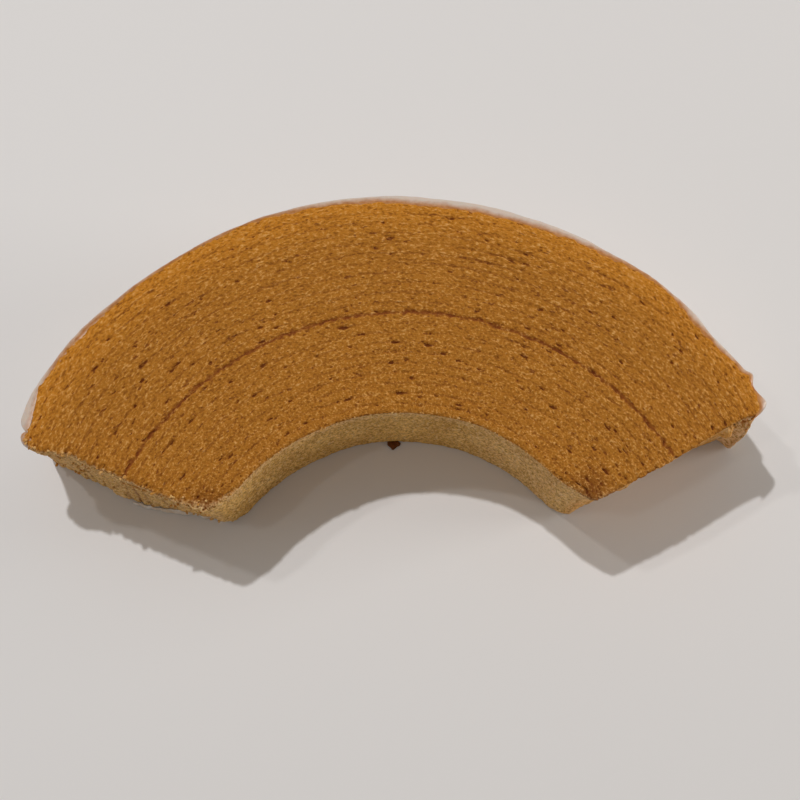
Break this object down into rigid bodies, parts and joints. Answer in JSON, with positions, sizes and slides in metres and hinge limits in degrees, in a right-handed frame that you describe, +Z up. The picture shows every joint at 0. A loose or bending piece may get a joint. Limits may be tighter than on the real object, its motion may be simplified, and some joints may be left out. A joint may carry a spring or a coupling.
{
  "type": "baumkuchen slice",
  "caption": "Curved slice of layered ring cake lying flat, with a dark seam ring on its cut top and thin sugar icing on its outer wall.",
  "frame": {"origin": "middle of the slice's box on the surface it rests on", "axes": "+Z up out of the cut top, +X along the chord from the slice's left end to its right end, +Y towards the crest of the outer wall"},
  "size_m": [0.1324, 0.0578, 0.0259],
  "materials": {
    "cake_crumb": "matt golden brown sponge crumb with faint baked layers and small pores",
    "sugar_icing": "translucent white sugar icing, half glossy"
  },
  "bodies": {
    "root": {"cake": "cake_crumb", "icing": "sugar_icing"}
  },
  "joints": []
}
